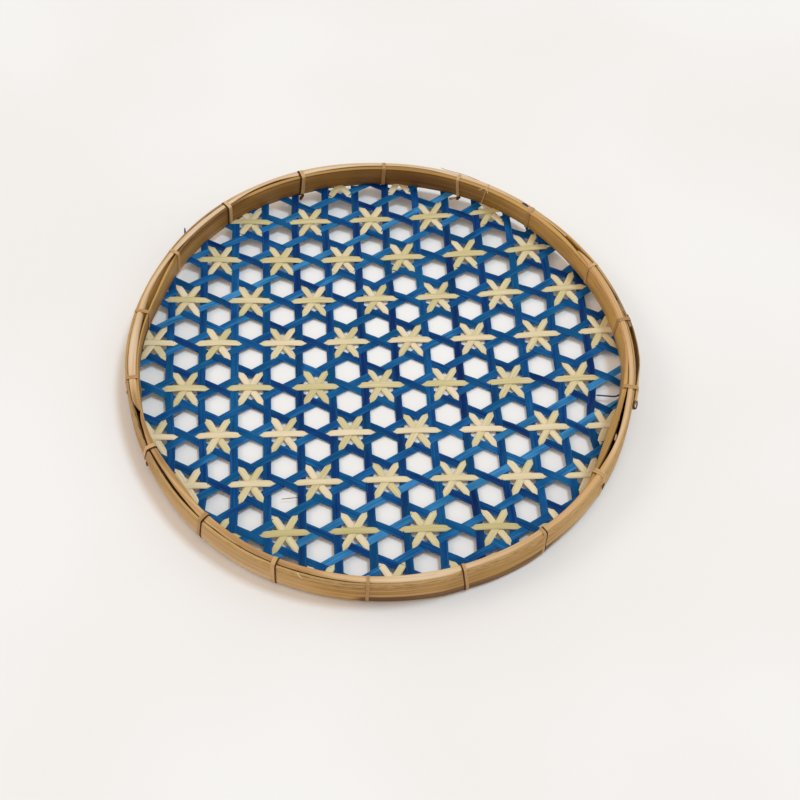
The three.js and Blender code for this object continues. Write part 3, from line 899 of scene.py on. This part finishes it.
# Dive, rises, tuck and the taper's places are shares of the pitch. An arm is pointed where it slips
# under the crossing of two blue strips.
natural = dict(
    width=5.15, thickness=0.4, wander=(0.35, 130), roll=(0.06, 60), endInset=0.6, shortest=40,
    directions={"level": 0, "right_leaning": 60, "left_leaning": 120},
    rows={0: range(-4, 5), 60: range(-5, 6), 120: range(-5, 6)},
    starHeights={0: 2.2, 60: 1.7, 120: 1.2}, starHalf=5.5, overBlue=1.72, underBlue=0.22,
    dive=0.77, diveHeight=0.15, rises=0.8, tuck=0.1, shortestTip=13.5,
    tones={0: (0.1, 1.0), 60: (0.3, 1.0), 120: (0.4, 1.05)},
    taper=[(0.5, 1), (0.6, 0.92), (0.7, 0.4), (0.77, 0.12), (0.84, 0.16), (0.93, 0.8)],
)


# Stops along a row of stars: the same on both sides of each, and one where two blue strips cross
# half-way to the next
def starStops(row, beside, between):
    stops = []
    for star in rowStars(row):
        stops += [(star + sign * at, value) for at, value in beside for sign in (-1, 1)]
        stops.append((star + pitch, between))
    return stops


# A natural strip's heights: its own level in a star, over the blue strip that it crosses squarely,
# and under the crossing of two blue strips
def naturalHeights(direction, row):
    star = (natural["starHalf"], natural["starHeights"][direction])
    over = (0.5 * pitch, natural["overBlue"])
    under = natural["underBlue"]
    dive = (natural["dive"] * pitch, under + natural["diveHeight"])
    return starStops(row, [star, over, dive], under)


for leaning, direction in natural["directions"].items():
    for row in natural["rows"][direction]:
        taper = starStops(row, [(at * pitch, share) for at, share in natural["taper"]], 1)
        name = "star_strip_" + leaning + "_" + str(row + weave["rows"])
        weaveStrip(name, direction, row * rowPitch, naturalHeights(direction, row), natural,
                   naturalPaint, "natural_strip", ["star_strips"], taper, row)
print("star strips woven")

looseShape = dict(up=(0.02, 0.01, 1.0), start=-0.6, tipLoss=0.6)


# The stops are made round, and the width falls with the square of the way from the widest place
def layLoose(name, stops, width, thickness, upright, look, tone=0.5):
    stops = rounded(np.array(stops, float), False)
    path = placed(stops[:, 0], rimRadius(stops[:, 0]) + stops[:, 1], stops[:, 2])
    up = np.tile(looseShape["up"], (len(path), 1))
    side = up if upright else np.cross(np.gradient(path, axis=0), up)
    way = np.linspace(looseShape["start"], 1, len(path))
    tapered = width * (1 - looseShape["tipLoss"] * way**2)
    rings, run, across = ribbonRings(path, side, tapered, thickness)
    skin(name, rings, grainOf(run, across, tone), ribbonWearAndSheen, *look, [])


# Loose ends: splinters, hairs and strip ends. Each is its stops of (angle, millimetres outwards from
# the rim's circle, height), then width, thickness, whether it stands on edge, look and tone.
darkCane = (darkCaneAndShadowPaint, "split_cane")
splitCane = (lashingPaint, "split_cane")
blueEnd = (bluePaint, "blue_strip")
hair = (darkCaneAndShadowPaint, "blue_strip")
husk = (lashingPaint, "natural_strip")
looseEnds = dict(
    lap_curl=([
        (344.9, -1, 26.3), (344, -2.2, 26.6), (343, -2.3, 26.8), (342.5, -1.2, 26.9), (342.7, 0, 26.8),
        (343.6, 0.4, 26.5), (344.8, 0, 26.2),
    ], 1.6, 0.9, True, (darkCaneAndShadowPaint, "bamboo_hoop")),
    tie_end_lower_right=([
        (323.4, -2, 15.5), (322.8, -1.5, 16.8), (322.2, -1.2, 17.8), (321.6, -0.8, 18.4),
    ], 1.7, 0.9, True, darkCane),
    tie_end_lower_left=([
        (203.4, 0.8, 5.5), (203.9, 1.2, 6.5), (204.3, 1.5, 7.6), (204.9, 1.8, 8.2),
    ], 1.5, 0.9, True, darkCane),
    tie_end_left=([
        (184.4, 1.6, 9), (184.9, 1.9, 10.5), (185.6, 2, 12), (186.2, 1.7, 13.5),
    ], 1.0, 0.6, True, darkCane),
    blue_end_upper_right=([
        (48.7, -1.5, 27.4), (49.2, -1.5, 28.2), (50, -1.3, 28.2), (50.6, -1.3, 27.4),
    ], 1.5, 0.5, False, blueEnd, 0.2),
    blue_end_back=([
        (102.5, 5, 25.2), (101.8, 4.6, 25.8), (100.8, 3.9, 25.9), (99.4, 3.4, 25.6),
    ], 0.9, 0.45, False, blueEnd, 0),
    blue_end_upper_left=([
        (141.4, 0.6, 25.2), (141, 2.2, 25.6), (140.3, 4.6, 25.9), (139.6, 6.8, 26.3),
    ], 1.5, 0.4, False, blueEnd, 0.35),
    rim_hair=([
        (73, 5, 27), (72.1, 3.5, 27.4), (70, 2.8, 27.8), (68, 2.9, 28), (65.4, 2.4, 27.7), (63, 2, 27.4),
    ], 0.36, 0.3, False, (lashingPaint, "bamboo_hoop"), 0),
    thread_end_left=([
        (60.4, -3.6, 28.1), (61.2, -5.8, 28.2), (61.9, -7.8, 27.6),
    ], 0.45, 0.3, False, splitCane, 0.9),
    thread_end_right=([
        (60.4, -3.6, 28.1), (59.9, -5.9, 28.1), (59.3, -7.9, 27.4),
    ], 0.45, 0.3, False, splitCane, 0.9),
    face_splinter=([
        (249.7, 1.7, 27.1), (250.2, 2.7, 26.2), (250.8, 2.9, 23.6),
    ], 0.8, 0.35, False, (naturalPaint, "bamboo_hoop"), 0.9),
    husk_1=([
        (333, -8.4, 25.4), (334, -8.6, 26.2), (334.8, -8.9, 25.2),
    ], 1.3, 0.5, False, husk, 0.3),
    husk_2=([
        (338.8, -10.6, 22.6), (339.6, -10.2, 23.6), (340.2, -10.6, 22.8),
    ], 1.1, 0.5, False, husk, 0.3),
    dark_strand=([
        (349.6, -28, 5.2), (349.6, -19, 5.8), (349.6, -13, 6.4), (350.2, -10.9, 7.2), (349.3, -9.6, 7.4),
        (348.4, -11, 6.6), (347.3, -14, 6), (346.2, -17, 5.6),
    ], 1.3, 0.4, False, blueEnd, 0),
    hair_left=([
        (193.9, -26.1, 5.2), (193.2, -30, 5.2), (192.5, -34.1, 5.2),
    ], 0.45, 0.3, False, hair),
    hair_front=([
        (234.6, -55.9, 3.7), (236.6, -59.6, 3.7), (238.8, -63.6, 3.7),
    ], 0.45, 0.3, False, hair),
    knot_back_right=([
        (47.6, -5.8, 8.4), (46.7, -6.9, 7.6), (45.8, -7.2, 7), (45, -6.4, 7.2),
    ], 2.8, 1.2, True, blueEnd, 0),
    knot_back_middle=([
        (67, -4.3, 8.6), (67.5, -5.1, 7.4), (68, -5.4, 6.6), (67.3, -4.6, 6.2),
    ], 2.2, 1.3, True, darkCane),
    tie_end_back_middle=([
        (67.8, -4.9, 7.4), (68.6, -6, 6.6), (69.7, -7.2, 6),
    ], 2.0, 0.8, False, splitCane, 0.4),
    knot_back_left=([
        (107.7, -3.9, 7.8), (108.1, -4.9, 6.4), (108.7, -5.6, 5.6), (108.5, -5, 5),
    ], 3.0, 1.6, True, darkCane),
    tie_end_back_left=([
        (108.4, -4.6, 6.8), (109.4, -5.2, 6.5), (110.4, -5.4, 6.7),
    ], 1.4, 0.7, False, splitCane, 0.8),
)
for name, settings in looseEnds.items():
    layLoose(name, *settings)
# A dark strip of painted shadow beside the back turn at 107.5 degrees
lashRim("painted_shadow_turn_6", *lashing["knotShadow"], darkCaneAndShadowPaint, [])
print("loose ends laid")

# Floor, in metres, with faint clouds between two whites
floorLook = dict(
    half=9, cloudScale=3.0, cloudEnds=(0.35, 0.65), light=(246, 242, 238), dull=(242, 237, 232),
    rough=0.7, specular=0.2,
)


def makeFloor():
    mesh = bpy.data.meshes.new("floor")
    half = floorLook["half"]
    corners = [(-half, -half, 0), (half, -half, 0), (half, half, 0), (-half, half, 0)]
    mesh.from_pydata(corners, [], [(0, 1, 2, 3)])
    paint = Paint("floor_paint")
    place = paint.node("TexCoord", {}, {}, "Object")
    cloud = paint.noise(place, floorLook["cloudScale"], detail=2).clamped(*floorLook["cloudEnds"])
    colour = paint.mix(cloud, linear(floorLook["light"]), linear(floorLook["dull"]))
    shader = paint.node("BsdfPrincipled", {}, {
        "Base Color": colour, "Roughness": floorLook["rough"], "Specular IOR Level": floorLook["specular"],
    })
    mesh.materials.append(paint.finish(shader))
    addObject("floor", mesh)


# Lamps and sky: a lamp's place, the degrees that it spreads over, level and colour
lights = dict(
    key=dict(toward=(0.38, 0.12, 1.0), spread=14, level=0.32, colour=(0.72, 0.97, 1.2)),
    side=dict(toward=(-1.15, 0.25, 1.0), spread=24, level=0.07, colour=(1.2, 0.97, 0.84)),
    sky=dict(level=1.0, colour=(0.695, 0.645, 0.59)),
)


# A distant lamp, whose level is how brightly it lights a white floor on its own
def hangLamp(name, lamp):
    toward = Vector(lamp["toward"]).normalized()
    light = bpy.data.lights.new(name, "SUN")
    light.angle = math.radians(lamp["spread"])
    light.energy = math.pi * lamp["level"] / toward.z
    light.color = lamp["colour"]
    addObject(name, light).rotation_euler = toward.to_track_quat("Z", "Y").to_euler()


def makeLights(lights):
    hangLamp("key_lamp", lights["key"])
    hangLamp("side_lamp", lights["side"])
    world = bpy.data.worlds.new("sky")
    world.use_nodes = True
    sky = world.node_tree.nodes["Background"]
    sky.inputs["Color"].default_value = (*lights["sky"]["colour"], 1)
    sky.inputs["Strength"].default_value = lights["sky"]["level"]
    bpy.context.scene.world = world


makeFloor()
makeLights(lights)
bpy.context.scene.view_settings.view_transform = "Standard"
print("floor and lights set")
